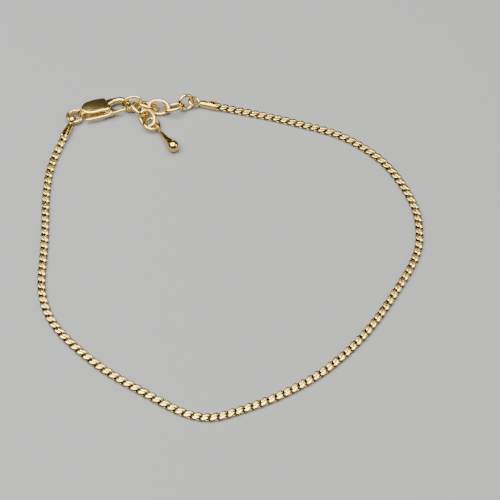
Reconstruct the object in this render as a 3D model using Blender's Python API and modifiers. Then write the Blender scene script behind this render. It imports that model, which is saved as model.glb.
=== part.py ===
"""Chain anklet, lying clasped in a loose loop.

A flattened curb chain ends in two folded caps. The left cap carries a jump ring and a claw
clasp with a sprung gate, the right cap a short extender of wire links with a ball drop.
Metres, +Z up. The origin is on the floor under the middle of the anklet.
"""
import math

import bmesh
import bpy
from mathutils import Matrix, Vector

# Route of the chain, seen from above, from the back of the left cap round to the right cap
CHAIN_ROUTE = [
    (-0.0341, 0.0317), (-0.0355, 0.0277), (-0.0374, 0.0209), (-0.0379, 0.0145),
    (-0.0373, 0.0018), (-0.0369, -0.0104), (-0.0352, -0.0160), (-0.0322, -0.0206),
    (-0.0244, -0.0279), (-0.0160, -0.0334), (-0.0074, -0.0381), (-0.0029, -0.0388),
    (0.0016, -0.0375), (0.0104, -0.0335), (0.0186, -0.0279), (0.0259, -0.0201),
    (0.0320, -0.0106), (0.0372, 0.0000), (0.0379, 0.0062), (0.0370, 0.0123),
    (0.0315, 0.0228), (0.0229, 0.0298), (0.0129, 0.0334), (0.0060, 0.0353),
    (-0.0036, 0.0374), (-0.0074, 0.03805),
]
ROUTE_STEPS = 24

# Curb chain
LINK_PITCH = 0.00165
LINK_WIRE = 0.00048
LINK_WIDTH = 0.00160
LINK_GAP = 0.00005
TWIST_SHARE = 0.6
FILED_DEPTH = 0.00004
LINK_SIDES = 10
WIRE_SIDES = 5
CHAIN_RISE = 0.0060

# Folded end caps
CAP_LENGTH = 0.0040
CAP_WALL = 0.00020
CAP_GAP = 0.00006
CAP_SLOT = 0.00065
CAP_NECK = 0.0015
CAP_TAPER = 0.00030
CAP_EDGE = 0.00015
CAP_SQUEEZE = 0.00025
EYE_WIRE = 0.00055
UPRIGHT_EYE_RADIUS = 0.00085
UPRIGHT_EYE_SPREAD = 1.8
FLAT_EYE_RADIUS = 0.00110
FLAT_EYE_TILT = math.radians(22)
EYE_SIDES = 10
EYE_BITE = 0.00025

# Jump ring between the left cap and the clasp
JUMP_RING_RADIUS = 0.00155
JUMP_RING_WIRE = 0.00068
JUMP_RING_PLACE = (-0.03340, 0.03382)

# Claw clasp, in its own frame: X from the eye to the nose, Y towards the hook's back
CLASP_PLACE = (-0.03239, 0.03472)
CLASP_TURN = math.radians(16.4)
CLASP_PITCH = math.radians(2.2)
CLASP_LIFT = 0.00003
CLASP_THICKNESS = 0.0019
CLASP_EDGE = 0.00030
HOOK_THICKNESS = 0.0012
PLATE_OUTLINE = [
    (0.00045, 0.0002), (0.0012, 0.0016), (0.0027, 0.00205), (0.0045, 0.00208), (0.0058, 0.0018),
    (0.0061, 0.0006), (0.0065, -0.0008), (0.0060, -0.00150), (0.0045, -0.00145), (0.0027, -0.00150),
    (0.0013, -0.0011),
]
HOOK_OUTLINE = [
    (0.0050, 0.0008), (0.0058, 0.0015), (0.0080, 0.00165), (0.0093, 0.00145),
    (0.0103, 0.0007), (0.01085, -0.0003), (0.0109, -0.0014), (0.0106, -0.0023), (0.0102, -0.0024),
    (0.0099, -0.0008), (0.0096, -0.0001), (0.0090, 0.00045), (0.0080, 0.00055),
    (0.0070, 0.0002), (0.0050, -0.0003),
]
CLASP_EYE_RADIUS = 0.00070
CLASP_EYE_WIRE = 0.00050
OUTLINE_STEPS = 2
CHEEK_SIDES = 12
BORE_SIDES = 10

# The clasp's lever and the rivet that it turns on
PIVOT = (0.0064, -0.00178)
LEVER_THICKNESS = 0.0008
LEVER_EDGE = 0.00018
LEVER_GAP = 0.00008
HUB_RADIUS = 0.00055
CHEEK_RADIUS = 0.00070
RIVET_RADIUS = 0.00024
RIVET_GAP = 0.00005
GATE_OUTLINE = [
    (0.0007, -0.0023), (0.0020, -0.00205), (0.0042, -0.00198), (0.0058, -0.00150),
    (0.0068, -0.00140), (0.0085, -0.00152), (0.0096, -0.00156), (0.00988, -0.0018),
    (0.0096, -0.00208), (0.0085, -0.00214), (0.0068, -0.00240), (0.0055, -0.00262),
    (0.0038, -0.0027), (0.0020, -0.0027), (0.0010, -0.0026),
]
GATE_STEPS = 1

# Extender links of one wire, and how they lie
EXTENDER_WIRE = 0.00068
EXTENDER_SIDES = 10
EXTENDER_WIRE_SIDES = 5
RING_SIZE = (0.00376, 0.00366)
OVAL_SIZE = (0.00486, 0.00356)
# Name, outer length and width, middle, then degrees: turn about Z, lean about its length,
# rise of its leading end
EXTENDER_LINKS = [
    ("extender_link_1", RING_SIZE, (-0.01009, 0.03755, 0.00168), 26, 62, -4),
    ("extender_link_2", OVAL_SIZE, (-0.01267, 0.03636, 0.00142), 16, -28, 4),
    ("extender_link_3", OVAL_SIZE, (-0.01586, 0.03657, 0.00112), -11, 32, 0),
    ("extender_link_4", OVAL_SIZE, (-0.01811, 0.03668, 0.00152), -10, -36, -11),
    ("extender_link_5", OVAL_SIZE, (-0.02141, 0.03689, 0.00176), 7, 52, 15),
    ("extender_link_6", OVAL_SIZE, (-0.02002, 0.03564, 0.00142), -36, -36, -18),
    ("extender_link_7", OVAL_SIZE, (-0.01811, 0.03352, 0.00110), -61, 25, -3),
    ("extender_link_8", RING_SIZE, (-0.01716, 0.03198, 0.00106), -31, -7, -6),
]

# Ball drop on the last link: its profile runs from the ball's end to the stem's end, each
# point a distance from the eye's middle and a radius
DROP_EYE = (-0.01598, 0.03096, 0.00094)
DROP_TURN = math.radians(-54.7)
DROP_LENGTH = 0.00619
BALL_RADIUS = 0.00128
DROP_PROFILE = [
    (0.00747, 0.0), (0.00735, 0.00060), (0.00694, 0.00106), (0.00619, 0.00128),
    (0.00550, 0.00112), (0.00480, 0.00086), (0.00380, 0.00054), (0.00250, 0.00036),
    (0.00066, 0.00028), (0.00066, 0.0),
]
DROP_EYE_RADIUS = 0.00066
DROP_EYE_WIRE = 0.00040
DROP_SIDES = 11

FLOOR_GAP = 0.00002
WELD = 0.000001
SHARP_ANGLE = math.radians(40)
POLISH = 0.12
GOLD = (0.83, 0.62, 0.27, 1.0)


# Scene set-up and small helpers

def clear_scene():
    for old in list(bpy.data.objects):
        bpy.data.objects.remove(old, do_unlink=True)


def new_collection(name):
    collection = bpy.data.collections.new(name)
    bpy.context.scene.collection.children.link(collection)
    return collection


def gold(name):
    material = bpy.data.materials.new(name)
    material.use_nodes = True
    shader = material.node_tree.nodes["Principled BSDF"]
    shader.inputs["Base Color"].default_value = GOLD
    shader.inputs["Metallic"].default_value = 1.0
    shader.inputs["Roughness"].default_value = POLISH
    return material


def finish(thing, collection):
    """Gives a finished object its collection, its material and smooth shading."""
    for old in list(thing.users_collection):
        old.objects.unlink(thing)
    collection.objects.link(thing)
    thing.data.materials.clear()
    thing.data.materials.append(gold(thing.name))
    thing.data.shade_smooth()
    thing.data.set_sharp_from_angle(angle=SHARP_ANGLE)
    return thing


def keep_as_cutter(thing, cutters):
    for old in list(thing.users_collection):
        old.objects.unlink(thing)
    cutters.objects.link(thing)
    thing.hide_render = True
    thing.display_type = "WIRE"
    return thing


def combine(thing, operand, operation):
    modifier = thing.modifiers.new(operation.lower(), "BOOLEAN")
    modifier.operation = operation
    modifier.object = operand
    modifier.solver = "EXACT"


def bake(thing):
    """Turns an object with its modifiers, or a curve, into a plain welded mesh object."""
    bpy.context.view_layer.update()
    evaluated = thing.evaluated_get(bpy.context.evaluated_depsgraph_get())
    mesh = bpy.data.meshes.new_from_object(evaluated)
    bm = bmesh.new()
    bm.from_mesh(mesh)
    bmesh.ops.remove_doubles(bm, verts=bm.verts, dist=WELD)
    bmesh.ops.recalc_face_normals(bm, faces=bm.faces)
    bm.to_mesh(mesh)
    bm.free()
    solid = bpy.data.objects.new(thing.name, mesh)
    solid.matrix_world = thing.matrix_world
    for collection in thing.users_collection:
        collection.objects.link(solid)
    name = thing.name
    bpy.data.objects.remove(thing)
    solid.name = name
    return solid


def place(x, y, z=0.0, turn=0.0):
    return Matrix.Translation((x, y, z)) @ Matrix.Rotation(turn, 4, "Z")


# Primitives

def torus(name, radius, wire_radius, sides, wire_sides):
    bpy.ops.mesh.primitive_torus_add(
        major_segments=sides, minor_segments=wire_sides,
        major_radius=radius, minor_radius=wire_radius)
    ring = bpy.context.object
    ring.name = name
    return ring


def box(name, low, high):
    bm = bmesh.new()
    bmesh.ops.create_cube(bm, size=1.0)
    low, high = Vector(low), Vector(high)
    size, middle = high - low, (low + high) / 2
    bmesh.ops.scale(bm, vec=size, verts=bm.verts)
    bmesh.ops.translate(bm, vec=middle, verts=bm.verts)
    return object_from(bm, name)


def cylinder(name, radius, low, high, sides):
    bm = bmesh.new()
    bmesh.ops.create_cone(bm, cap_ends=True, segments=sides, radius1=radius, radius2=radius,
                          depth=high - low)
    bmesh.ops.translate(bm, vec=(0, 0, (low + high) / 2), verts=bm.verts)
    return object_from(bm, name)


def object_from(bm, name):
    mesh = bpy.data.meshes.new(name)
    bm.to_mesh(mesh)
    bm.free()
    thing = bpy.data.objects.new(name, mesh)
    bpy.context.scene.collection.objects.link(thing)
    return thing


def flat_solid(name, outline, thickness, edge, middle, steps=OUTLINE_STEPS):
    """An extruded smooth outline with bevelled edges, its middle at the height given."""
    curve = bpy.data.curves.new(name, "CURVE")
    curve.dimensions = "2D"
    curve.fill_mode = "BOTH"
    curve.extrude = thickness / 2 - edge
    curve.bevel_depth = edge
    curve.bevel_resolution = 0
    curve.offset = -edge
    curve.resolution_u = steps
    spline = curve.splines.new("BEZIER")
    spline.bezier_points.add(len(outline) - 1)
    for point, (x, y) in zip(spline.bezier_points, outline):
        point.co = (x, y, 0.0)
        point.handle_left_type = "AUTO"
        point.handle_right_type = "AUTO"
    spline.use_cyclic_u = True
    thing = bpy.data.objects.new(name, curve)
    thing.location.z = middle
    bpy.context.scene.collection.objects.link(thing)
    return bake(thing)


# The chain's route

def smooth_route(points):
    """Points along a centripetal Catmull-Rom curve through the route's own points."""
    path = [Vector(p) for p in points]
    path = [2 * path[0] - path[1]] + path + [2 * path[-1] - path[-2]]
    samples = []
    for a, b, c, d in zip(path, path[1:], path[2:], path[3:]):
        t1 = math.sqrt((b - a).length)
        t2 = t1 + math.sqrt((c - b).length)
        t3 = t2 + math.sqrt((d - c).length)
        for step in range(ROUTE_STEPS):
            t = t1 + (t2 - t1) * step / ROUTE_STEPS
            ab = a.lerp(b, t / t1)
            bc = b.lerp(c, (t - t1) / (t2 - t1))
            cd = c.lerp(d, (t - t2) / (t3 - t2))
            abc = ab.lerp(bc, t / t2)
            bcd = bc.lerp(cd, (t - t1) / (t3 - t1))
            samples.append(abc.lerp(bcd, (t - t1) / (t2 - t1)))
    samples.append(path[-2])
    return samples


def lengths_along(samples):
    total = [0.0]
    for a, b in zip(samples, samples[1:]):
        total.append(total[-1] + (b - a).length)
    return total


def point_at(samples, totals, distance):
    """The point and the heading at a distance along the route."""
    index = 1
    while index < len(samples) - 1 and totals[index] < distance:
        index += 1
    a, b = samples[index - 1], samples[index]
    share = (distance - totals[index - 1]) / (totals[index] - totals[index - 1])
    return a.lerp(b, share), math.atan2(b.y - a.y, b.x - a.x)


# Chain links

LINK_HALF = (LINK_WIDTH - LINK_WIRE) / 2
LINK_REACH = (LINK_PITCH + LINK_WIRE + LINK_GAP) / 2
LINK_LIFT = TWIST_SHARE * (LINK_WIRE + LINK_GAP)
CHAIN_HALF_HEIGHT = LINK_LIFT + LINK_WIRE / 2 - FILED_DEPTH
CAP_INSIDE_HEIGHT = CAP_WALL + CAP_GAP + CHAIN_HALF_HEIGHT
CAP_INSIDE_WIDTH = LINK_WIDTH - CAP_SQUEEZE + 2 * CAP_GAP
CAP_WIDTH = CAP_INSIDE_WIDTH + 2 * CAP_WALL
CAP_HEIGHT = 2 * CAP_INSIDE_HEIGHT


def bent_ring(mesh, sides, radius, reach, half, lift):
    """Bends a torus mesh so that its wire follows an oval twisted out of its plane.

    The corners of the oval lie between its ends, so a flat side of the ring faces each end.
    """
    corner = math.pi / sides
    reach = reach / math.cos(corner)
    for vertex in mesh.vertices:
        angle = math.atan2(vertex.co.y, vertex.co.x) + corner
        out = math.hypot(vertex.co.x, vertex.co.y) - radius
        across, ahead = math.sin(angle), math.cos(angle)
        middle = Vector((reach * ahead, half * across, -lift * math.sin(2 * angle)))
        along = Vector((-reach * across, half * ahead, -2 * lift * math.cos(2 * angle)))
        along.normalize()
        up = Vector((0, 0, 1))
        up = (up - up.dot(along) * along).normalized()
        vertex.co = middle + out * along.cross(up) + vertex.co.z * up


def curb_link_mesh(squeeze=0.0):
    """One link of the chain, twisted so that the links lie flat, its faces filed."""
    ring = torus("link", 1.0, LINK_WIRE / 2, LINK_SIDES, WIRE_SIDES)
    bent_ring(ring.data, LINK_SIDES, 1.0, LINK_REACH, LINK_HALF - squeeze / 2, LINK_LIFT)
    for vertex in ring.data.vertices:
        vertex.co.z = max(-CHAIN_HALF_HEIGHT, min(CHAIN_HALF_HEIGHT, vertex.co.z))
    mesh = ring.data
    bpy.data.objects.remove(ring)
    return mesh


def inner_face(bm_faces, place_of_link, side):
    """The face of a link's end, on the inside of the ring, that looks along X times side."""
    back = place_of_link.inverted()
    best, best_score = None, None
    for face in bm_faces:
        middle = back @ face.calc_center_median()
        if middle.x * side > 0:
            continue
        looks = (back.to_3x3() @ face.normal).x * side
        score = looks - abs(middle.y) / LINK_HALF - abs(middle.z) / LINK_HALF
        if best is None or score > best_score:
            best, best_score = face, score
    return best


def chain_height(distance, total):
    """Height of the chain's middle: raised inside the caps, on the floor between them."""
    from_mouth = min(distance, total - distance) - CAP_LENGTH
    share = max(0.0, min(1.0, from_mouth / CHAIN_RISE))
    share = share * share * (3 - 2 * share)
    floor_height = CHAIN_HALF_HEIGHT + FLOOR_GAP
    return CAP_INSIDE_HEIGHT + (floor_height - CAP_INSIDE_HEIGHT) * share


def link_places(samples, totals):
    """Where each link lies, and whether a cap squeezes it."""
    total = totals[-1]
    first = CAP_NECK + CAP_GAP + LINK_REACH + LINK_WIRE / 2
    run = total - 2 * first
    count = round(run / LINK_PITCH)
    places = []
    for index in range(count + 1):
        distance = first + run * index / count
        middle, turn = point_at(samples, totals, distance)
        height = chain_height(distance, total)
        step = LINK_PITCH / 2
        climb = chain_height(distance + step, total) - chain_height(distance - step, total)
        pitch = Matrix.Rotation(-math.atan2(climb, LINK_PITCH), 4, "Y")
        held = min(distance, total - distance) < CAP_LENGTH
        places.append((place(middle.x, middle.y, height, turn) @ pitch, held))
    return places


def chain_stretch(name, places, free_link, held_link):
    """A stretch of links, each fused to the next where they pull on each other."""
    bm = bmesh.new()
    ends = []
    for where, held in places:
        start = len(bm.faces)
        bm.from_mesh(held_link if held else free_link)
        bm.faces.ensure_lookup_table()
        faces = bm.faces[start:]
        corners = {vertex for face in faces for vertex in face.verts}
        bmesh.ops.transform(bm, matrix=where, verts=list(corners))
        for face in faces:
            face.normal_update()
        ends.append((inner_face(faces, where, 1), inner_face(faces, where, -1)))
    for (_, front), (rear, _) in zip(ends, ends[1:]):
        edges = list(front.edges) + list(rear.edges)
        bmesh.ops.delete(bm, geom=[front, rear], context="FACES_ONLY")
        bmesh.ops.bridge_loops(bm, edges=edges)
    bmesh.ops.triangulate(bm, faces=bm.faces)
    return object_from(bm, name)


# End caps

def cap_place(samples, totals, at_start):
    """Frame of a cap: X from its closed back to its mouth."""
    distance = 0.0 if at_start else totals[-1]
    back, _ = point_at(samples, totals, distance)
    mouth, _ = point_at(samples, totals, CAP_LENGTH if at_start else totals[-1] - CAP_LENGTH)
    run = mouth - back
    return place(back.x, back.y, 0.0, math.atan2(run.y, run.x))


def end_cap(name, where, eye, collection, cutters):
    """A folded sheet cap: a channel closed at the back, slit along its top, with an eye."""
    half = CAP_WIDTH / 2
    cap = box(name, (0, -half, FLOOR_GAP), (CAP_LENGTH, half, CAP_HEIGHT))
    for vertex in cap.data.vertices:
        if vertex.co.x < CAP_LENGTH / 2:
            vertex.co.y -= math.copysign(CAP_TAPER, vertex.co.y)
    bevel = cap.modifiers.new("edges", "BEVEL")
    bevel.width = CAP_EDGE
    bevel.segments = 1
    inside = CAP_INSIDE_WIDTH / 2
    hollow = box(name + "_hollow", (CAP_NECK, -inside, CAP_WALL),
                 (2 * CAP_LENGTH, inside, CAP_HEIGHT - CAP_WALL))
    slot = box(name + "_slot", (CAP_NECK, -CAP_SLOT / 2, CAP_HEIGHT / 2),
               (2 * CAP_LENGTH, CAP_SLOT / 2, 2 * CAP_HEIGHT))
    combine(cap, eye, "UNION")
    combine(cap, hollow, "DIFFERENCE")
    combine(cap, slot, "DIFFERENCE")
    for tool in (eye, hollow, slot):
        tool.matrix_world = where @ tool.matrix_world
        keep_as_cutter(tool, cutters)
    cap.matrix_world = where
    return finish(cap, collection)


def upright_eye(name):
    """A loop of sheet, wider across the cap than it is thick."""
    eye = torus(name, UPRIGHT_EYE_RADIUS, EYE_WIRE / 2, EYE_SIDES, WIRE_SIDES)
    middle = UPRIGHT_EYE_RADIUS + EYE_WIRE / 2 + 2 * FLOOR_GAP
    eye.matrix_world = (Matrix.Translation((EYE_BITE - middle, 0, middle))
                        @ Matrix.Rotation(math.pi / 2, 4, "X")
                        @ Matrix.Diagonal((1, 1, UPRIGHT_EYE_SPREAD, 1)))
    return eye


def flat_eye(name):
    eye = torus(name, FLAT_EYE_RADIUS, EYE_WIRE / 2, EYE_SIDES, WIRE_SIDES)
    eye.matrix_world = (Matrix.Translation((EYE_BITE - EYE_WIRE / 2, 0, CAP_HEIGHT / 2))
                        @ Matrix.Rotation(FLAT_EYE_TILT, 4, "Y")
                        @ Matrix.Translation((-FLAT_EYE_RADIUS, 0, 0)))
    return eye


# Clasp

CLASP_MIDDLE = CLASP_THICKNESS / 2 + FLOOR_GAP


def clasp_place():
    """Frame of the clasp: it lies on its eye, its nose raised by the link under it."""
    return place(*CLASP_PLACE, CLASP_LIFT, CLASP_TURN) @ Matrix.Rotation(-CLASP_PITCH, 4, "Y")


def clasp_body(collection, cutters):
    body = flat_solid("clasp_body", PLATE_OUTLINE, CLASP_THICKNESS, CLASP_EDGE, CLASP_MIDDLE)
    hook = flat_solid("clasp_hook", HOOK_OUTLINE, HOOK_THICKNESS, CLASP_EDGE, CLASP_MIDDLE)
    cheek = cylinder("clasp_cheek", CHEEK_RADIUS, CLASP_MIDDLE - HOOK_THICKNESS / 2,
                     CLASP_MIDDLE + HOOK_THICKNESS / 2, CHEEK_SIDES)
    slot_half = LEVER_THICKNESS / 2 + LEVER_GAP
    slot = flat_solid("clasp_slot", widened(GATE_OUTLINE, LEVER_GAP), 2 * slot_half, 0.0,
                      CLASP_MIDDLE, GATE_STEPS)
    bore = cylinder("clasp_bore", RIVET_RADIUS + RIVET_GAP, -CLASP_THICKNESS, 2 * CLASP_THICKNESS,
                    BORE_SIDES)
    cheek_room = cylinder("clasp_room", CHEEK_RADIUS + LEVER_GAP, CLASP_MIDDLE - slot_half,
                          CLASP_MIDDLE + slot_half, CHEEK_SIDES)
    eye = torus("clasp_eye", CLASP_EYE_RADIUS, CLASP_EYE_WIRE / 2, EYE_SIDES, WIRE_SIDES)
    eye.matrix_world = (Matrix.Translation((PLATE_OUTLINE[0][0] - CLASP_EYE_RADIUS + CLASP_EDGE / 2,
                                            PLATE_OUTLINE[0][1], CLASP_MIDDLE))
                        @ Matrix.Rotation(math.pi / 2, 4, "X"))
    for tool in (cheek, bore, cheek_room):
        tool.matrix_world = place(*PIVOT)
    for tool in (hook, cheek, eye):
        combine(body, tool, "UNION")
    for tool in (slot, cheek_room, bore):
        combine(body, tool, "DIFFERENCE")
    for tool in (hook, cheek, slot, bore, cheek_room, eye):
        tool.matrix_world = clasp_place() @ tool.matrix_world
        keep_as_cutter(tool, cutters)
    body.matrix_world = clasp_place() @ body.matrix_world
    return finish(body, collection)


def widened(outline, gap):
    """An outline pushed outwards by a gap, away from its own middle line."""
    points = [Vector(p) for p in outline]
    wide = []
    for before, here, after in zip(points[-1:] + points[:-1], points, points[1:] + points[:1]):
        along = (after - before).normalized()
        wide.append(tuple(here + gap * Vector((-along.y, along.x))))
    return wide


def clasp_lever(collection, cutters):
    """The gate with its thumb tab, turning on the rivet; its origin is on the hinge's axis."""
    shift = [(x - PIVOT[0], y - PIVOT[1]) for x, y in GATE_OUTLINE]
    lever = flat_solid("clasp_lever", shift, LEVER_THICKNESS, LEVER_EDGE, CLASP_MIDDLE, GATE_STEPS)
    hub = cylinder("lever_hub", HUB_RADIUS, CLASP_MIDDLE - LEVER_THICKNESS / 2,
                   CLASP_MIDDLE + LEVER_THICKNESS / 2, CHEEK_SIDES)
    bore = cylinder("lever_bore", RIVET_RADIUS + RIVET_GAP, -CLASP_THICKNESS, 2 * CLASP_THICKNESS,
                    BORE_SIDES)
    combine(lever, hub, "UNION")
    combine(lever, bore, "DIFFERENCE")
    where = clasp_place() @ place(*PIVOT)
    for tool in (hub, bore):
        tool.matrix_world = where
        keep_as_cutter(tool, cutters)
    lever.matrix_world = where @ lever.matrix_world
    return finish(lever, collection)


def clasp_rivet(collection):
    rivet = cylinder("clasp_rivet", RIVET_RADIUS, CLASP_MIDDLE - HOOK_THICKNESS / 2,
                     CLASP_MIDDLE + HOOK_THICKNESS / 2, BORE_SIDES)
    rivet.matrix_world = clasp_place() @ place(*PIVOT)
    return finish(rivet, collection)


# Rings, extender and drop

def jump_ring(collection):
    ring = torus("jump_ring", JUMP_RING_RADIUS, JUMP_RING_WIRE / 2, EYE_SIDES, WIRE_SIDES)
    ring.location = (*JUMP_RING_PLACE, CLASP_MIDDLE)
    return finish(ring, collection)


def extender_link(name, size, middle, turn, lean, rise, collection):
    ring = torus(name, 1.0, EXTENDER_WIRE / 2, EXTENDER_SIDES, EXTENDER_WIRE_SIDES)
    reach, half = (size[0] - EXTENDER_WIRE) / 2, (size[1] - EXTENDER_WIRE) / 2
    bent_ring(ring.data, EXTENDER_SIDES, 1.0, reach, half, 0.0)
    ring.matrix_world = (place(*middle, math.radians(turn))
                         @ Matrix.Rotation(-math.radians(rise), 4, "Y")
                         @ Matrix.Rotation(math.radians(lean), 4, "X"))
    return finish(ring, collection)


def drop(collection, cutters):
    """A ball on a slender stem that widens into it, with an eye at its top."""
    mesh = bpy.data.meshes.new("drop")
    mesh.from_pydata([(radius, 0.0, -along) for along, radius in reversed(DROP_PROFILE)],
                     [(i, i + 1) for i in range(len(DROP_PROFILE) - 1)], [])
    body = bpy.data.objects.new("drop", mesh)
    bpy.context.scene.collection.objects.link(body)
    screw = body.modifiers.new("turned", "SCREW")
    screw.steps = DROP_SIDES
    screw.render_steps = DROP_SIDES
    screw.use_merge_vertices = True
    screw.merge_threshold = WELD
    body = bake(body)
    eye = torus("drop_eye", DROP_EYE_RADIUS, DROP_EYE_WIRE / 2, EYE_SIDES, WIRE_SIDES)
    eye.matrix_world = Matrix.Rotation(math.pi / 2, 4, "X")
    combine(body, eye, "UNION")
    fall = math.asin((DROP_EYE[2] - BALL_RADIUS - FLOOR_GAP) / DROP_LENGTH)
    lay = (place(*DROP_EYE, DROP_TURN) @ Matrix.Rotation(fall, 4, "Y")
           @ Matrix.Rotation(-math.pi / 2, 4, "Y"))
    eye.matrix_world = lay @ eye.matrix_world
    keep_as_cutter(eye, cutters)
    body.matrix_world = lay
    return finish(body, collection)


def build():
    clear_scene()
    anklet = new_collection("chain_anklet")
    cutters = new_collection("cutters")
    samples = smooth_route(CHAIN_ROUTE)
    totals = lengths_along(samples)
    places = link_places(samples, totals)
    half = len(places) // 2
    free_link = curb_link_mesh()
    held_link = curb_link_mesh(CAP_SQUEEZE)
    finish(chain_stretch("chain_a", places[:half], free_link, held_link), anklet)
    finish(chain_stretch("chain_b", places[half:], free_link, held_link), anklet)
    end_cap("end_cap_left", cap_place(samples, totals, True), upright_eye("left_eye"), anklet, cutters)
    end_cap("end_cap_right", cap_place(samples, totals, False), flat_eye("right_eye"), anklet, cutters)
    jump_ring(anklet)
    clasp_body(anklet, cutters)
    clasp_lever(anklet, cutters)
    clasp_rivet(anklet)
    for row in EXTENDER_LINKS:
        extender_link(*row, anklet)
    drop(anklet, cutters)


build()
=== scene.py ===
"""Looks of the chain anklet: every solid of the part is replaced by finely made geometry.

All lengths are metres, in the frame of the part. The anklet lies on a pale floor, lit from above.
"""
import math

import bmesh
import bpy
from mathutils import Matrix, Vector

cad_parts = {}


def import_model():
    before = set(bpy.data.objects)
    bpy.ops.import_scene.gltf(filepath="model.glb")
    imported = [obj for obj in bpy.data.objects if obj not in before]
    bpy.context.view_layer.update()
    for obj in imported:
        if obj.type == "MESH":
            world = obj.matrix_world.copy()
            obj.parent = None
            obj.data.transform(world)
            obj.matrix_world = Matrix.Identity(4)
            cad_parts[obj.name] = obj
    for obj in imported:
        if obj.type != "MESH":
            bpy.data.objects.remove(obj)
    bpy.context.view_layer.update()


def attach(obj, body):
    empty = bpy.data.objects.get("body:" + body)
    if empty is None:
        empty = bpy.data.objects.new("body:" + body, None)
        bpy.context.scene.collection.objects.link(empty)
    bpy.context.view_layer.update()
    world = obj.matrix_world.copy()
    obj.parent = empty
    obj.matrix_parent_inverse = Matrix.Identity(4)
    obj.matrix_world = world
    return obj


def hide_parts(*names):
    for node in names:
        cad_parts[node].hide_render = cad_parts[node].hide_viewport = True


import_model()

# The chain as the part has it: its route on the floor, pitch, wire and gap
CHAIN_ROUTE = [
    (-0.0341, 0.0317), (-0.0355, 0.0277), (-0.0374, 0.0209), (-0.0379, 0.0145),
    (-0.0373, 0.0018), (-0.0369, -0.0104), (-0.0352, -0.0160), (-0.0322, -0.0206),
    (-0.0244, -0.0279), (-0.0160, -0.0334), (-0.0074, -0.0381), (-0.0029, -0.0388),
    (0.0016, -0.0375), (0.0104, -0.0335), (0.0186, -0.0279), (0.0259, -0.0201),
    (0.0320, -0.0106), (0.0372, 0.0000), (0.0379, 0.0062), (0.0370, 0.0123),
    (0.0315, 0.0228), (0.0229, 0.0298), (0.0129, 0.0334), (0.0060, 0.0353),
    (-0.0036, 0.0374), (-0.0074, 0.03805),
]
ROUTE_STEPS = 24
LINK_PITCH = 0.00165
LINK_WIRE = 0.00048
LINK_WIDTH = 0.00160
LINK_GAP = 0.00005
LINK_LIFT = 0.6 * (LINK_WIRE + LINK_GAP)
FILED_DEPTH = 0.00004
CHAIN_RISE = 0.0060
LINK_REACH = (LINK_PITCH + LINK_WIRE + LINK_GAP) / 2
CHAIN_HALF_HEIGHT = LINK_LIFT + LINK_WIRE / 2 - FILED_DEPTH

# The fine links: stronger than the solids, with twisted wire that is filed to a shallow crown
FULL_WIRE = 0.00061
FULL_WIDTH = 0.00172
FULL_GAP = 0.00001
# The wire shows as bars across the chain: broader by a share, flatter, and lifted by the twist
BAR_SPREAD = 0.22
BAR_DEPTH = 0.84
BAR_LIFT = 0.00030
FILED_HALF_HEIGHT = 0.00044
CROWN = 0.00005
FILED_EASE = 0.00003
TWIST_STEEPNESS = 2.4
TWIST_LEAD = math.radians(-6)
# Heights from a link's middle plane between which its painted shade fades to plain gold: wire near
# the middle plane, where it dips between the bars, is painted darker
PAINTED_SHADE_LOW = 0.00005
PAINTED_SHADE_HIGH = 0.00022
LINK_SEGMENTS = 48
LINK_SIDES = 16

# End caps
CAP_LENGTH = 0.0040
CAP_WALL = 0.00020
CAP_GAP = 0.00006
CAP_SLOT = 0.00065
CAP_NECK = 0.0015
CAP_TAPER = 0.00030
CAP_SQUEEZE = 0.00025
CAP_ROUNDING = 0.00055
CAP_INSIDE_HEIGHT = CAP_WALL + CAP_GAP + CHAIN_HALF_HEIGHT
CAP_INSIDE_WIDTH = LINK_WIDTH - CAP_SQUEEZE + 2 * CAP_GAP
CAP_WIDTH = CAP_INSIDE_WIDTH + 2 * CAP_WALL
CAP_HEIGHT = 2 * CAP_INSIDE_HEIGHT
EYE_WIRE = 0.00055
UPRIGHT_EYE_RADIUS = 0.00085
UPRIGHT_EYE_SPREAD = 1.8
FLAT_EYE_RADIUS = 0.00110
FLAT_EYE_TILT = math.radians(22)
EYE_BITE = 0.00025
CAP_BEVEL_STEPS = 7
HOLLOW_BEVEL_STEPS = 5
SLOT_ROUNDING = 0.00012
SLOT_BEVEL_STEPS = 3

# Jump ring
JUMP_RING_RADIUS = 0.00155
JUMP_RING_PLACE = (-0.03340, 0.03382)

# Clasp
FLOOR_GAP = 0.00002
CLASP_PLACE = (-0.03239, 0.03472)
CLASP_TURN = math.radians(16.4)
CLASP_PITCH = math.radians(2.2)
CLASP_LIFT = 0.00003
CLASP_THICKNESS = 0.0019
PLATE_EDGE = 0.00034
HOOK_THICKNESS = 0.0012
HOOK_EDGE = 0.00040
CLASP_MIDDLE = CLASP_THICKNESS / 2 + FLOOR_GAP
PLATE_OUTLINE = [
    (0.00045, 0.0002), (0.0012, 0.0016), (0.0027, 0.00205), (0.0045, 0.00208),
    (0.0058, 0.0018), (0.0061, 0.0006), (0.0065, -0.0008), (0.0060, -0.00150),
    (0.0045, -0.00145), (0.0027, -0.00150), (0.0013, -0.0011),
]
HOOK_OUTLINE = [
    (0.0050, 0.0008), (0.0058, 0.0015), (0.0080, 0.00165), (0.0093, 0.00145),
    (0.0103, 0.0007), (0.01085, -0.0003), (0.0109, -0.0014), (0.0106, -0.0023), (0.0102, -0.0024),
    (0.0099, -0.0008), (0.0096, -0.0001), (0.0090, 0.00045), (0.0080, 0.00055),
    (0.0070, 0.0002), (0.0050, -0.0003),
]
CLASP_EYE_RADIUS = 0.00070
CLASP_EYE_WIRE = 0.00050
CLASP_EYE_BITE = 0.00015
PIVOT = (0.0064, -0.00178)
LEVER_THICKNESS = 0.0008
LEVER_EDGE = 0.00022
LEVER_GAP = 0.00008
HUB_RADIUS = 0.00055
CHEEK_RADIUS = 0.00070
CHEEK_ROUNDING = 0.00010
CHEEK_BEVEL_STEPS = 3
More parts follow.
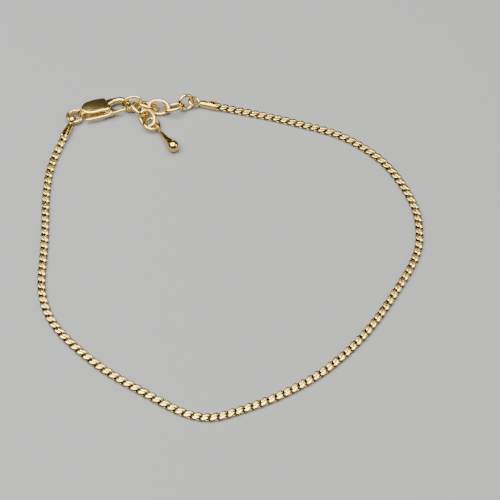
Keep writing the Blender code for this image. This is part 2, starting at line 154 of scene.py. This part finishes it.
SLOT_EDGE = 0.00002
RIVET_RADIUS = 0.00024
RIVET_GAP = 0.00005
RIVET_ROUNDING = 0.00006
# How far the middle of a quarter-round lies in from the corner, as a share of its radius
ARC_MIDDLE = 0.3
GATE_OUTLINE = [
    (0.0007, -0.0023), (0.0020, -0.00205), (0.0042, -0.00198), (0.0058, -0.00150),
    (0.0068, -0.00140), (0.0085, -0.00172), (0.0095, -0.00188), (0.00982, -0.00200),
    (0.0096, -0.00214), (0.0085, -0.00218), (0.0068, -0.00240), (0.0055, -0.00262),
    (0.0038, -0.0027), (0.0020, -0.0027), (0.0010, -0.0026),
]

# Rings and links of the extender: the part's wire, which sets their sizes, and the fine wire
EXTENDER_WIRE = 0.00068
FULL_ROUND_WIRE = 0.00076
# The link in the clasp's hook has thinner wire, so that the lever opens past it
HOOKED_LINK = "extender_link_5"
HOOKED_WIRE = 0.00060
RING_SIZE = (0.00376, 0.00366)
OVAL_SIZE = (0.00486, 0.00356)
RING_SEGMENTS = 72
RING_SIDES = 22
# The cut where a ring's wire ends meet: its width and place, as angles round the ring in radians
SEAM_ANGLE = 0.018
JUMP_RING_SEAM = 1.9
LINK_SEAM = math.pi / 2
LINK_SEAM_STEP = 0.2
LINK_SEAM_CYCLE = 3
# Name, outer length and width, middle, then turn, lean and rise in degrees
EXTENDER_LINKS = [
    ("extender_link_1", RING_SIZE, (-0.01009, 0.03755, 0.00168), 26, 62, -4),
    ("extender_link_2", OVAL_SIZE, (-0.01267, 0.03636, 0.00142), 16, -28, 4),
    ("extender_link_3", OVAL_SIZE, (-0.01586, 0.03657, 0.00112), -11, 32, 0),
    ("extender_link_4", OVAL_SIZE, (-0.01811, 0.03668, 0.00152), -10, -36, -11),
    ("extender_link_5", OVAL_SIZE, (-0.02141, 0.03689, 0.00176), 7, 52, 15),
    ("extender_link_6", OVAL_SIZE, (-0.02002, 0.03564, 0.00142), -36, -36, -18),
    ("extender_link_7", OVAL_SIZE, (-0.01811, 0.03352, 0.00110), -61, 25, -3),
    ("extender_link_8", RING_SIZE, (-0.01716, 0.03198, 0.00106), -31, -7, -6),
]

# Ball drop
DROP_EYE = (-0.01598, 0.03096, 0.00094)
DROP_TURN = math.radians(-54.7)
DROP_LENGTH = 0.00619
BALL_RADIUS = 0.00128
STEM_PROFILE = [
    (0.00060, 0.00030), (0.0010, 0.00031), (0.0018, 0.00036), (0.0025, 0.00043),
    (0.0032, 0.00053), (0.0038, 0.00065), (0.0044, 0.00080), (0.0049, 0.00095),
    (0.00525, 0.00106),
]
DROP_EYE_RADIUS = 0.00066
DROP_EYE_WIRE = 0.00040
DROP_EYE_SEGMENTS = 48
DROP_EYE_SIDES = 16
BALL_STEPS = 20

# How finely round shapes are made
ROUND_SIDES = 48
TORUS_SEGMENTS = 64
TORUS_SIDES = 20
CURVE_STEPS = 8
EDGE_STEPS = 3
WELD_DISTANCE = 0.0000005
# Shading breaks at edges sharper than this, in degrees
SHARP_ANGLE = 35.0
CHAIN_SHARP_ANGLE = 60.0

# Gold: the painted shade colour in the low parts of the chain's links, and the tint and gloss of
# its patches as shares
PAINTED_SHADE_GOLD = (0.11, 0.068, 0.017)
PATCH_TINT = (0.90, 0.86, 0.74)
PATCH_DETAIL = 3.0
PATCH_RANGE = (0.3, 0.7)
GLOSS_RANGE = (0.75, 1.35)

# Floor, world and lights
FLOOR_HALF = 1.5
FLOOR_ROUGHNESS = 0.9
FLOOR_SPECULAR = 0.2
FLOOR_NOISE_SCALE = 12.0
FLOOR_GREYS = ((0.205, 0.205, 0.205, 1.0), (0.215, 0.215, 0.213, 1.0))
WORLD_COLOUR = (1.0, 0.99, 0.97, 1.0)
WORLD_STRENGTH = 0.02
# Each light's name, place, target, size, power in watts and colour
AREA_LIGHTS = [
    ("overhead", (-0.21, -0.025, 0.55), (-0.21, -0.025, 0), (0.82, 0.65), 18.0, (1.0, 1.0, 0.985)),
    ("back", (-0.09, 0.52, 0.50), (0, 0, 0), (0.50, 0.35), 0.03, (1.0, 1.0, 1.0)),
    ("right", (0.45, -0.05, 0.30), (0, 0, 0), (0.14, 0.24), 1.0, (1.0, 0.98, 0.95)),
]

# Camera: distances in metres, angles in radians, lens and sensor in millimetres
CAMERA_TARGET = Vector((0.00388, 0.00045, 0.0))
CAMERA_DISTANCE = 0.3634
CAMERA_ELEVATION = 0.9407
CAMERA_ROLL = 0.0161
CAMERA_LENS = 130.8
CAMERA_SENSOR = 36.0
CAMERA_CLIP_START = 0.01

COLLECTION = bpy.context.scene.collection


# Materials

def polished_gold(name, colour, roughness, patch_scale, with_painted_shade=False):
    """Plated gold, patchy in tint and gloss, with painted shade where a mesh's attribute marks its
    low parts.
    """
    material = bpy.data.materials.new(name)
    material.use_nodes = True
    nodes, links = material.node_tree.nodes, material.node_tree.links
    shader = nodes["Principled BSDF"]
    shader.inputs["Metallic"].default_value = 1.0
    coordinates = nodes.new("ShaderNodeTexCoord")
    patches = nodes.new("ShaderNodeTexNoise")
    patches.inputs["Scale"].default_value = patch_scale
    patches.inputs["Detail"].default_value = PATCH_DETAIL
    links.new(coordinates.outputs["Object"], patches.inputs["Vector"])
    tint = nodes.new("ShaderNodeMixRGB")
    worn = tuple(channel * share for channel, share in zip(colour, PATCH_TINT))
    tint.inputs["Color1"].default_value = (*colour, 1.0)
    tint.inputs["Color2"].default_value = (*worn, 1.0)
    links.new(patches.outputs["Fac"], tint.inputs["Fac"])
    surface = tint
    # Painted shade: the base colour is mixed towards a dark brown by the mesh's attribute, high in
    # the links' low parts
    if with_painted_shade:
        depth = nodes.new("ShaderNodeAttribute")
        depth.attribute_name = "painted_shade"
        surface = nodes.new("ShaderNodeMixRGB")
        surface.inputs["Color2"].default_value = (*PAINTED_SHADE_GOLD, 1.0)
        links.new(depth.outputs["Fac"], surface.inputs["Fac"])
        links.new(tint.outputs["Color"], surface.inputs["Color1"])
    links.new(surface.outputs["Color"], shader.inputs["Base Color"])
    gloss = nodes.new("ShaderNodeMapRange")
    gloss.inputs["From Min"].default_value = PATCH_RANGE[0]
    gloss.inputs["From Max"].default_value = PATCH_RANGE[1]
    gloss.inputs["To Min"].default_value = roughness * GLOSS_RANGE[0]
    gloss.inputs["To Max"].default_value = roughness * GLOSS_RANGE[1]
    links.new(patches.outputs["Fac"], gloss.inputs["Value"])
    links.new(gloss.outputs["Result"], shader.inputs["Roughness"])
    return material


# The chain's gold carries painted shade in the low parts of its links
CHAIN_GOLD = polished_gold("chain_gold", (0.78, 0.60, 0.24), roughness=0.22, patch_scale=400.0,
                           with_painted_shade=True)
CLASP_GOLD = polished_gold("clasp_gold", (0.76, 0.56, 0.20), roughness=0.16, patch_scale=500.0)
WIRE_GOLD = polished_gold("wire_gold", (0.76, 0.56, 0.19), roughness=0.20, patch_scale=600.0)


# Helpers

def place(x, y, z=0.0, turn=0.0):
    return Matrix.Translation((x, y, z)) @ Matrix.Rotation(turn, 4, "Z")


def linked(name, data):
    thing = bpy.data.objects.new(name, data)
    COLLECTION.objects.link(thing)
    return thing


def mesh_object(name, points, faces):
    mesh = bpy.data.meshes.new(name)
    mesh.from_pydata([tuple(p) for p in points], [], faces)
    mesh.validate()
    return linked(name, mesh)


def object_from(bm, name):
    mesh = bpy.data.meshes.new(name)
    bm.to_mesh(mesh)
    bm.free()
    return linked(name, mesh)


def bake(thing, name):
    """A plain mesh object in place of one with modifiers or a curve, its place in its mesh."""
    bpy.context.view_layer.update()
    evaluated = thing.evaluated_get(bpy.context.evaluated_depsgraph_get())
    mesh = bpy.data.meshes.new_from_object(evaluated)
    mesh.transform(thing.matrix_world)
    bm = bmesh.new()
    bm.from_mesh(mesh)
    bmesh.ops.remove_doubles(bm, verts=bm.verts, dist=WELD_DISTANCE)
    bmesh.ops.recalc_face_normals(bm, faces=bm.faces)
    bm.to_mesh(mesh)
    bm.free()
    bpy.data.objects.remove(thing)
    return linked(name, mesh)


def combined(name, first, steps):
    """Booleans of (operation, tool) applied in turn; the tools are used up."""
    for operation, tool in steps:
        modifier = first.modifiers.new("step", "BOOLEAN")
        modifier.operation = operation
        modifier.object = tool
        modifier.solver = "EXACT"
    solid = bake(first, name)
    for _, tool in steps:
        bpy.data.objects.remove(tool)
    return solid


def finish(thing, name, body, node, material, sharp_angle=SHARP_ANGLE):
    """Names a finished piece, gives it its material and seats it on its body."""
    thing.name = name
    thing.data.name = name
    thing.data.materials.clear()
    thing.data.materials.append(material)
    thing.data.shade_smooth()
    thing.data.set_sharp_from_angle(angle=math.radians(sharp_angle))
    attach(thing, body)
    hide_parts(node)
    return thing


def twist_of(angle):
    """How far the wire of a curb link stands above the link's middle plane there, and its slope.

    Both are shares of the link's lift. The tanh holds the wire at its height and then drops it
    steeply, so that the wire shows as a bar across the chain.
    """
    twist = 2 * (angle + TWIST_LEAD)
    rise = math.tanh(TWIST_STEEPNESS * math.sin(twist)) / math.tanh(TWIST_STEEPNESS)
    slope = (2 * TWIST_STEEPNESS * math.cos(twist) / math.tanh(TWIST_STEEPNESS)
             * (1 - math.tanh(TWIST_STEEPNESS * math.sin(twist)) ** 2))
    return rise, slope


def wire_loop(reach, half, lift, wire, segments, sides,
              seam=0.0, seam_at=0.0, broad=0.0, deep=1.0):
    """Points and faces of a wire bent to an oval, closed or with a fine cut in it.

    lift twists the oval out of its plane. broad widens the wire along the oval's sides, and deep
    scales its thickness across the oval's plane.
    """
    radius = wire / 2
    open_loop = seam > 0
    count = segments + 1 if open_loop else segments
    points = []
    for step in range(count):
        share = step / segments
        angle = seam_at + (seam / 2 + (2 * math.pi - seam) * share)
        rise, slope = twist_of(angle)
        middle = Vector((reach * math.cos(angle), half * math.sin(angle), -lift * rise))
        along = Vector((-reach * math.sin(angle), half * math.cos(angle), -lift * slope))
        along.normalize()
        up = Vector((0, 0, 1))
        up = (up - up.dot(along) * along).normalized()
        out = along.cross(up)
        wide = 1 + broad * math.sin(angle) ** 2
        for side in range(sides):
            turn = 2 * math.pi * side / sides
            offset = wide * math.cos(turn) * out + deep * math.sin(turn) * up
            points.append(middle + radius * offset)
    faces = []
    for step in range(segments):
        here, there = step * sides, ((step + 1) % count) * sides
        for side in range(sides):
            after = (side + 1) % sides
            faces.append((here + side, there + side, there + after, here + after))
    if open_loop:
        faces.append(tuple(range(sides)))
        faces.append(tuple(reversed(range((count - 1) * sides, count * sides))))
    return points, faces


def round_bar(name, radius, low, high):
    bm = bmesh.new()
    bmesh.ops.create_cone(bm, cap_ends=True, segments=ROUND_SIDES, radius1=radius, radius2=radius,
                          depth=high - low)
    bmesh.ops.translate(bm, vec=(0, 0, (low + high) / 2), verts=bm.verts)
    return object_from(bm, name)


def box(name, low, high):
    bm = bmesh.new()
    bmesh.ops.create_cube(bm, size=1.0)
    low, high = Vector(low), Vector(high)
    bmesh.ops.scale(bm, vec=high - low, verts=bm.verts)
    bmesh.ops.translate(bm, vec=(low + high) / 2, verts=bm.verts)
    return object_from(bm, name)


def bevelled(thing, width, segments):
    modifier = thing.modifiers.new("edges", "BEVEL")
    modifier.width = width
    modifier.segments = segments
    return thing


def flat_solid(name, outline, thickness, edge, middle):
    """A flat piece with a smooth outline and rounded edges, its middle plane at that height."""
    curve = bpy.data.curves.new(name, "CURVE")
    curve.dimensions = "2D"
    curve.fill_mode = "BOTH"
    curve.extrude = thickness / 2 - edge
    curve.bevel_depth = edge
    curve.bevel_resolution = EDGE_STEPS
    curve.offset = -edge
    curve.resolution_u = CURVE_STEPS
    spline = curve.splines.new("BEZIER")
    spline.bezier_points.add(len(outline) - 1)
    for point, (x, y) in zip(spline.bezier_points, outline):
        point.co = (x, y, 0.0)
        point.handle_left_type = "AUTO"
        point.handle_right_type = "AUTO"
    spline.use_cyclic_u = True
    thing = linked(name, curve)
    thing.location.z = middle
    return bake(thing, name)


def torus(name, radius, wire, segments=TORUS_SEGMENTS, sides=TORUS_SIDES):
    points, faces = wire_loop(radius, radius, 0.0, wire, segments, sides)
    return mesh_object(name, points, faces)


# Chain

def smooth_route(points):
    """A centripetal Catmull-Rom curve through the points, finely sampled."""
    path = [Vector(p) for p in points]
    path = [2 * path[0] - path[1]] + path + [2 * path[-1] - path[-2]]
    samples = []
    for a, b, c, d in zip(path, path[1:], path[2:], path[3:]):
        t1 = math.sqrt((b - a).length)
        t2 = t1 + math.sqrt((c - b).length)
        t3 = t2 + math.sqrt((d - c).length)
        for step in range(ROUTE_STEPS):
            t = t1 + (t2 - t1) * step / ROUTE_STEPS
            ab = a.lerp(b, t / t1)
            bc = b.lerp(c, (t - t1) / (t2 - t1))
            cd = c.lerp(d, (t - t2) / (t3 - t2))
            abc = ab.lerp(bc, t / t2)
            bcd = bc.lerp(cd, (t - t1) / (t3 - t1))
            samples.append(abc.lerp(bcd, (t - t1) / (t2 - t1)))
    samples.append(path[-2])
    return samples


def lengths_along(samples):
    total = [0.0]
    for a, b in zip(samples, samples[1:]):
        total.append(total[-1] + (b - a).length)
    return total


def point_at(samples, totals, distance):
    index = 1
    while index < len(samples) - 1 and totals[index] < distance:
        index += 1
    a, b = samples[index - 1], samples[index]
    share = (distance - totals[index - 1]) / (totals[index] - totals[index - 1])
    return a.lerp(b, share), math.atan2(b.y - a.y, b.x - a.x)


def chain_height(distance, total):
    """Height of the chain's middle, which rises from the floor to the mouths of the caps."""
    from_mouth = min(distance, total - distance) - CAP_LENGTH
    share = max(0.0, min(1.0, from_mouth / CHAIN_RISE))
    share = share * share * (3 - 2 * share)
    floor_height = CHAIN_HALF_HEIGHT + FLOOR_GAP
    return CAP_INSIDE_HEIGHT + (floor_height - CAP_INSIDE_HEIGHT) * share


def link_places(samples, totals):
    total = totals[-1]
    first = CAP_NECK + CAP_GAP + LINK_REACH + LINK_WIRE / 2
    run = total - 2 * first
    count = round(run / LINK_PITCH)
    places = []
    for index in range(count + 1):
        distance = first + run * index / count
        middle, turn = point_at(samples, totals, distance)
        height = chain_height(distance, total)
        step = LINK_PITCH / 2
        climb = chain_height(distance + step, total) - chain_height(distance - step, total)
        pitch = Matrix.Rotation(-math.atan2(climb, LINK_PITCH), 4, "Y")
        held = min(distance, total - distance) < CAP_LENGTH
        places.append((place(middle.x, middle.y, height, turn) @ pitch, held))
    return places


def curb_link(squeeze):
    """One curb link: twisted oval wire, its upper and lower sides filed to a shallow crown.

    squeeze narrows a link that is held in a cap.
    """
    half = (FULL_WIDTH - FULL_WIRE * (1 + BAR_SPREAD) - squeeze) / 2
    reach = (LINK_PITCH + FULL_WIRE + FULL_GAP) / 2
    points, faces = wire_loop(reach, half, BAR_LIFT, FULL_WIRE, LINK_SEGMENTS, LINK_SIDES,
                              broad=BAR_SPREAD, deep=BAR_DEPTH)
    filed = []
    for p in points:
        top = FILED_HALF_HEIGHT - CROWN * (2 * p.y / FULL_WIDTH) ** 2
        over = abs(p.z) - (top - FILED_EASE)
        if over > 0:
            z = top - FILED_EASE * math.exp(-over / FILED_EASE)
            p = Vector((p.x, p.y, math.copysign(z, p.z)))
        filed.append(p)
    return filed, faces


def chain_piece(name, node, places):
    free, held = curb_link(0.0), curb_link(CAP_SQUEEZE)
    points, faces, painted_shade = [], [], []
    for where, is_held in places:
        link_points, link_faces = held if is_held else free
        # Painted shade: wire near the link's middle plane gets a high attribute, which darkens its
        # gold
        for p in link_points:
            share = (abs(p.z) - PAINTED_SHADE_LOW) / (PAINTED_SHADE_HIGH - PAINTED_SHADE_LOW)
            painted_shade.append(1.0 - max(0.0, min(1.0, share)))
        start = len(points)
        sink = Vector((0, 0, 0 if is_held else FILED_HALF_HEIGHT - CHAIN_HALF_HEIGHT))
        points.extend(where @ p + sink for p in link_points)
        faces.extend(tuple(start + corner for corner in face) for face in link_faces)
    thing = mesh_object(name, points, faces)
    thing.data.attributes.new("painted_shade", "FLOAT", "POINT").data.foreach_set("value", painted_shade)
    return finish(thing, name, "anklet", node, CHAIN_GOLD, CHAIN_SHARP_ANGLE)


samples = smooth_route(CHAIN_ROUTE)
totals = lengths_along(samples)
places = link_places(samples, totals)
half_way = len(places) // 2
chain_piece("curb_chain_a", "chain_a", places[:half_way])
chain_piece("curb_chain_b", "chain_b", places[half_way:])


# End caps

def cap_place(at_start):
    distance = 0.0 if at_start else totals[-1]
    back, _ = point_at(samples, totals, distance)
    mouth, _ = point_at(samples, totals, CAP_LENGTH if at_start else totals[-1] - CAP_LENGTH)
    run = mouth - back
    return place(back.x, back.y, 0.0, math.atan2(run.y, run.x))


def end_cap(name, node, where, eye):
    half = CAP_WIDTH / 2
    cap = box("cap", (0, -half, FLOOR_GAP), (CAP_LENGTH, half, CAP_HEIGHT))
    for vertex in cap.data.vertices:
        if vertex.co.x < CAP_LENGTH / 2:
            vertex.co.y -= math.copysign(CAP_TAPER, vertex.co.y)
    bevelled(cap, CAP_ROUNDING, CAP_BEVEL_STEPS)
    inside = CAP_INSIDE_WIDTH / 2
    hollow = box("hollow", (CAP_NECK, -inside, CAP_WALL),
                 (2 * CAP_LENGTH, inside, CAP_HEIGHT - CAP_WALL))
    bevelled(hollow, CAP_ROUNDING / 2, HOLLOW_BEVEL_STEPS)
    slot = box("slot", (CAP_NECK, -CAP_SLOT / 2, CAP_HEIGHT / 2),
               (2 * CAP_LENGTH, CAP_SLOT / 2, 2 * CAP_HEIGHT))
    bevelled(slot, SLOT_ROUNDING, SLOT_BEVEL_STEPS)
    solid = combined("cap_solid", cap, [
        ("UNION", eye), ("DIFFERENCE", hollow), ("DIFFERENCE", slot)])
    solid.data.transform(where)
    return finish(solid, name, "anklet", node, WIRE_GOLD)


def cap_eye(radius, matrix):
    eye = torus("eye", radius, EYE_WIRE)
    eye.matrix_world = matrix
    return eye


upright_middle = UPRIGHT_EYE_RADIUS + EYE_WIRE / 2 + 2 * FLOOR_GAP
upright = (Matrix.Translation((EYE_BITE - upright_middle, 0, upright_middle))
           @ Matrix.Rotation(math.pi / 2, 4, "X") @ Matrix.Diagonal((1, 1, UPRIGHT_EYE_SPREAD, 1)))
flat = (Matrix.Translation((EYE_BITE - EYE_WIRE / 2, 0, CAP_HEIGHT / 2))
        @ Matrix.Rotation(FLAT_EYE_TILT, 4, "Y") @ Matrix.Translation((-FLAT_EYE_RADIUS, 0, 0)))
end_cap("cap_left", "end_cap_left", cap_place(True), cap_eye(UPRIGHT_EYE_RADIUS, upright))
end_cap("cap_right", "end_cap_right", cap_place(False), cap_eye(FLAT_EYE_RADIUS, flat))


# Clasp

CLASP_FRAME = place(*CLASP_PLACE, CLASP_LIFT, CLASP_TURN) @ Matrix.Rotation(-CLASP_PITCH, 4, "Y")


def widened(outline, gap):
    """The outline moved outward by the gap. Its points run clockwise."""
    points = [Vector(p) for p in outline]
    wide = []
    for before, here, after in zip(points[-1:] + points[:-1], points, points[1:] + points[:1]):
        along = (after - before).normalized()
        wide.append(tuple(here + gap * Vector((-along.y, along.x))))
    return wide


def rivet_bore():
    return round_bar("bore", RIVET_RADIUS + RIVET_GAP, -CLASP_THICKNESS, 2 * CLASP_THICKNESS)


def clasp():
    slot_half = LEVER_THICKNESS / 2 + LEVER_GAP
    body = flat_solid("plate", PLATE_OUTLINE, CLASP_THICKNESS, PLATE_EDGE, CLASP_MIDDLE)
    hook = flat_solid("hook", HOOK_OUTLINE, HOOK_THICKNESS, HOOK_EDGE, CLASP_MIDDLE)
    cheek = round_bar("cheek", CHEEK_RADIUS,
                      CLASP_MIDDLE - HOOK_THICKNESS / 2, CLASP_MIDDLE + HOOK_THICKNESS / 2)
    bevelled(cheek, CHEEK_ROUNDING, CHEEK_BEVEL_STEPS)
    cheek.modifiers[0].limit_method = "ANGLE"
    eye = torus("eye", CLASP_EYE_RADIUS, CLASP_EYE_WIRE)
    plate_tip_x, plate_tip_y = PLATE_OUTLINE[0]
    eye.matrix_world = (Matrix.Translation((plate_tip_x - CLASP_EYE_RADIUS + CLASP_EYE_BITE,
                                            plate_tip_y, CLASP_MIDDLE))
                        @ Matrix.Rotation(math.pi / 2, 4, "X"))
    slot = flat_solid("slot", widened(GATE_OUTLINE, LEVER_GAP), 2 * slot_half, SLOT_EDGE,
                      CLASP_MIDDLE)
    room = round_bar("room", CHEEK_RADIUS + LEVER_GAP,
                     CLASP_MIDDLE - slot_half, CLASP_MIDDLE + slot_half)
    bore = rivet_bore()
    for tool in (cheek, room, bore):
        tool.matrix_world = place(*PIVOT)
    solid = combined("clasp_solid", body, [
        ("UNION", hook), ("UNION", cheek), ("UNION", eye),
        ("DIFFERENCE", slot), ("DIFFERENCE", room), ("DIFFERENCE", bore)])
    solid.data.transform(CLASP_FRAME)
    finish(solid, "clasp_shell", "anklet", "clasp_body", CLASP_GOLD)


def lever():
    gate = flat_solid("gate", GATE_OUTLINE, LEVER_THICKNESS, LEVER_EDGE, CLASP_MIDDLE)
    hub = round_bar("hub", HUB_RADIUS,
                    CLASP_MIDDLE - LEVER_THICKNESS / 2, CLASP_MIDDLE + LEVER_THICKNESS / 2)
    bore = rivet_bore()
    for tool in (hub, bore):
        tool.matrix_world = place(*PIVOT)
    solid = combined("lever_solid", gate, [("UNION", hub), ("DIFFERENCE", bore)])
    solid.data.transform(CLASP_FRAME)
    finish(solid, "gate_lever", "lever", "clasp_lever", CLASP_GOLD)


def turned(name, profile):
    """A closed solid of revolution about X from (along, radius) points, its ends on the axis."""
    first, last = profile[0], profile[-1]
    middle = profile[1:-1]
    points, faces = [Vector((first[0], 0, 0))], []
    for along, radius in middle:
        for step in range(ROUND_SIDES):
            angle = 2 * math.pi * step / ROUND_SIDES
            points.append(Vector((along, radius * math.cos(angle), radius * math.sin(angle))))
    points.append(Vector((last[0], 0, 0)))
    end = len(points) - 1
    for step in range(ROUND_SIDES):
        after = (step + 1) % ROUND_SIDES
        faces.append((0, 1 + after, 1 + step))
        for row in range(len(middle) - 1):
            a, b = 1 + row * ROUND_SIDES, 1 + (row + 1) * ROUND_SIDES
            faces.append((a + step, a + after, b + after, b + step))
        base = 1 + (len(middle) - 1) * ROUND_SIDES
        faces.append((base + step, base + after, end))
    return mesh_object(name, points, faces)


def rivet():
    low, high = -HOOK_THICKNESS / 2, HOOK_THICKNESS / 2
    edge = RIVET_ROUNDING
    inset = edge * ARC_MIDDLE
    profile = [
        (low, 0.0), (low, RIVET_RADIUS - edge), (low + inset, RIVET_RADIUS - inset),
        (low + edge, RIVET_RADIUS), (high - edge, RIVET_RADIUS),
        (high - inset, RIVET_RADIUS - inset), (high, RIVET_RADIUS - edge), (high, 0.0),
    ]
    pin = turned("pin", profile)
    upright = Matrix.Rotation(-math.pi / 2, 4, "Y")
    pin.data.transform(CLASP_FRAME @ place(*PIVOT, CLASP_MIDDLE) @ upright)
    finish(pin, "rivet_pin", "anklet", "clasp_rivet", CLASP_GOLD)


clasp()
lever()
rivet()


# Rings, extender and drop

def ring_piece(name, node, reach, half, wire, matrix, seam_at):
    points, faces = wire_loop(reach, half, 0.0, wire, RING_SEGMENTS, RING_SIDES,
                              SEAM_ANGLE, seam_at)
    thing = mesh_object(name, points, faces)
    thing.data.transform(matrix)
    return finish(thing, name, "anklet", node, WIRE_GOLD)


ring_piece("jump_ring_wire", "jump_ring", JUMP_RING_RADIUS, JUMP_RING_RADIUS, FULL_ROUND_WIRE,
           Matrix.Translation((*JUMP_RING_PLACE, CLASP_MIDDLE)), JUMP_RING_SEAM)
for number, (node, size, middle, turn, lean, rise) in enumerate(EXTENDER_LINKS):
    matrix = (place(*middle, math.radians(turn)) @ Matrix.Rotation(-math.radians(rise), 4, "Y")
              @ Matrix.Rotation(math.radians(lean), 4, "X"))
    wire = HOOKED_WIRE if node == HOOKED_LINK else FULL_ROUND_WIRE
    ring_piece(node + "_wire", node, (size[0] - EXTENDER_WIRE) / 2, (size[1] - EXTENDER_WIRE) / 2,
               wire, matrix, LINK_SEAM + LINK_SEAM_STEP * (number % LINK_SEAM_CYCLE))


def ball_drop():
    profile = [(STEM_PROFILE[0][0], 0.0)] + STEM_PROFILE
    start = math.asin(STEM_PROFILE[-1][1] / BALL_RADIUS)
    for step in range(1, BALL_STEPS):
        angle = start + (math.pi - start) * step / BALL_STEPS
        profile.append((DROP_LENGTH - BALL_RADIUS * math.cos(angle),
                        BALL_RADIUS * math.sin(angle)))
    profile.append((DROP_LENGTH + BALL_RADIUS, 0.0))
    body = turned("body", profile)
    eye = torus("eye", DROP_EYE_RADIUS, DROP_EYE_WIRE, DROP_EYE_SEGMENTS, DROP_EYE_SIDES)
    eye.matrix_world = Matrix.Rotation(math.pi / 2, 4, "X")
    solid = combined("drop_solid", body, [("UNION", eye)])
    fall = math.asin((DROP_EYE[2] - BALL_RADIUS - FLOOR_GAP) / DROP_LENGTH)
    solid.data.transform(place(*DROP_EYE, DROP_TURN) @ Matrix.Rotation(fall, 4, "Y"))
    finish(solid, "ball_drop", "anklet", "drop", WIRE_GOLD)


ball_drop()


# Floor, light and camera

def floor():
    bm = bmesh.new()
    bmesh.ops.create_grid(bm, x_segments=1, y_segments=1, size=FLOOR_HALF)
    ground = object_from(bm, "floor")
    material = bpy.data.materials.new("floor_paper")
    material.use_nodes = True
    nodes, links = material.node_tree.nodes, material.node_tree.links
    shader = nodes["Principled BSDF"]
    shader.inputs["Roughness"].default_value = FLOOR_ROUGHNESS
    shader.inputs["Specular IOR Level"].default_value = FLOOR_SPECULAR
    noise = nodes.new("ShaderNodeTexNoise")
    noise.inputs["Scale"].default_value = FLOOR_NOISE_SCALE
    tint = nodes.new("ShaderNodeMixRGB")
    tint.inputs["Color1"].default_value, tint.inputs["Color2"].default_value = FLOOR_GREYS
    links.new(noise.outputs["Fac"], tint.inputs["Fac"])
    links.new(tint.outputs["Color"], shader.inputs["Base Color"])
    ground.data.materials.append(material)


def area_light(name, location, target, size, power, colour):
    light = bpy.data.lights.new(name, "AREA")
    light.shape = "RECTANGLE"
    light.size, light.size_y = size
    light.energy = power
    light.color = colour
    thing = linked(name, light)
    thing.location = location
    aim = Vector(target) - Vector(location)
    thing.rotation_euler = aim.to_track_quat("-Z", "Y").to_euler()


def world():
    scene_world = bpy.data.worlds.new("studio")
    scene_world.use_nodes = True
    background = scene_world.node_tree.nodes["Background"]
    background.inputs["Color"].default_value = WORLD_COLOUR
    background.inputs["Strength"].default_value = WORLD_STRENGTH
    bpy.context.scene.world = scene_world


def camera():
    data = bpy.data.cameras.new("camera")
    data.lens = CAMERA_LENS
    data.sensor_width = CAMERA_SENSOR
    data.clip_start = CAMERA_CLIP_START
    thing = linked("camera", data)
    back = Vector((0, -math.cos(CAMERA_ELEVATION), math.sin(CAMERA_ELEVATION)))
    aim = (Matrix.Rotation(math.pi / 2 - CAMERA_ELEVATION, 4, "X")
           @ Matrix.Rotation(CAMERA_ROLL, 4, "Z"))
    thing.matrix_world = Matrix.Translation(CAMERA_TARGET + CAMERA_DISTANCE * back) @ aim
    bpy.context.scene.camera = thing


floor()
world()
for light in AREA_LIGHTS:
    area_light(*light)
camera()
